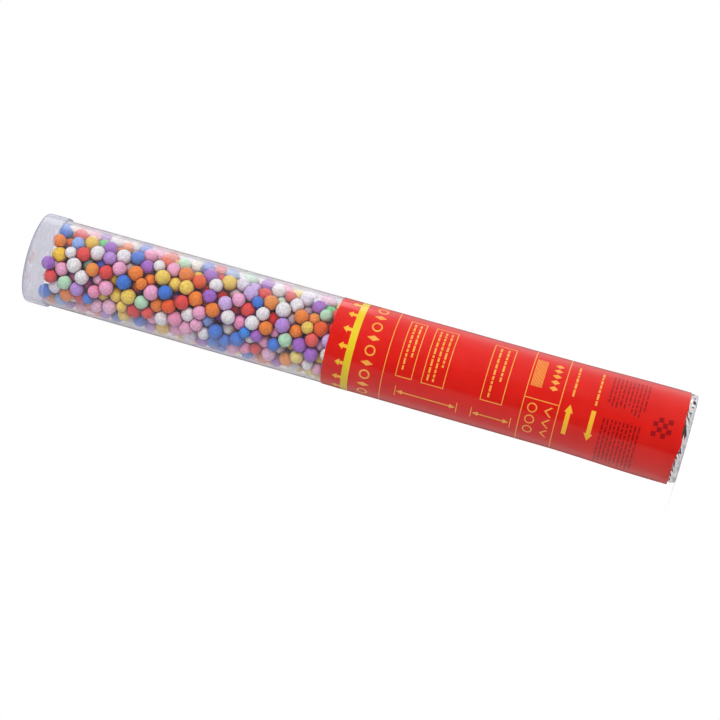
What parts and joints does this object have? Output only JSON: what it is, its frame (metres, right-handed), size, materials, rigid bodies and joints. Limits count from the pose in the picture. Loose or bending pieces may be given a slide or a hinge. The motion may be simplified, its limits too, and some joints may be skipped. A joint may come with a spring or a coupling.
{
  "type": "confetti popper",
  "caption": "Twist-fired compressed-air party popper: clear capped tube of coloured foam balls on a film-wrapped base that turns to release the air.",
  "frame": {"origin": "centre of the flat foot, on the surface that the popper stands on", "axes": "+Z along the tube from the foot to the muzzle, -Y out of the printed front of the film"},
  "size_m": [0.0546, 0.0546, 0.4],
  "materials": {
    "red_film": "glossy printed film",
    "silver_film": "crinkled metallised film",
    "clear_plastic": "clear, glossy",
    "card": "plain spiral-wound board",
    "felt": "pressed felt",
    "grey_moulding": "moulded, satin",
    "white_moulding": "moulded, satin",
    "foam_rubber": "soft, matte",
    "black_rubber": "matte",
    "bottle_aluminium": "drawn, satin",
    "pin_aluminium": "turned",
    "brass": "turned",
    "spring_steel": "ground",
    "foam_white": "matte moulded foam",
    "foam_pink": "matte moulded foam",
    "foam_red": "matte moulded foam",
    "foam_orange": "matte moulded foam",
    "foam_yellow": "matte moulded foam",
    "foam_mint": "matte moulded foam",
    "foam_blue": "matte moulded foam",
    "foam_purple": "matte moulded foam"
  },
  "bodies": {
    "base": {"base_plug": "grey_moulding", "foil_hem": "silver_film", "base_tube": "card", "label_lower": "red_film", "bottle_seat": "foam_rubber", "air_bottle": "bottle_aluminium", "fill_valve": "black_rubber", "bottle_collar": "card", "neck_gasket": "black_rubber", "neck_bush": "brass", "base_collar": "grey_moulding", "collar_pins": "pin_aluminium", "retaining_clip": "spring_steel"},
    "barrel": {"clear_tube": "clear_plastic", "label_upper": "red_film", "firing_head": "grey_moulding", "cam_sleeve": "white_moulding", "head_pins": "pin_aluminium"},
    "plunger": {"plunger": "white_moulding", "plunger_rings": "black_rubber", "cross_pin": "spring_steel"},
    "charge": {"wad_cup": "white_moulding", "wad_felt": "felt", "wad_card": "card", "balls_white": "foam_white", "balls_pink": "foam_pink", "balls_red": "foam_red", "balls_orange": "foam_orange", "balls_yellow": "foam_yellow", "balls_mint": "foam_mint", "balls_blue": "foam_blue", "balls_purple": "foam_purple"},
    "cap": {"end_cap": "clear_plastic"}
  },
  "joints": [
    {"name": "barrel_twist", "type": "hinge", "parent": "base", "child": "barrel", "pos_m": [0, 0, 0.13], "axis": [0, 0, 1], "range_deg": [0, 90]},
    {"name": "plunger_lift", "type": "slide", "parent": "base", "child": "plunger", "axis": [0, 0, 1], "range_m": [0, 0.008]},
    {"name": "charge_slide", "type": "slide", "parent": "barrel", "child": "charge", "axis": [0, 0, 1], "range_m": [0, 0.185]},
    {"name": "cap_slide", "type": "slide", "parent": "charge", "child": "cap", "axis": [0, 0, 1], "range_m": [0, 0.04]}
  ],
  "couplings": [
    {"joint": "plunger_lift", "follows": "barrel_twist", "m_per_rad": 0.005092}
  ]
}
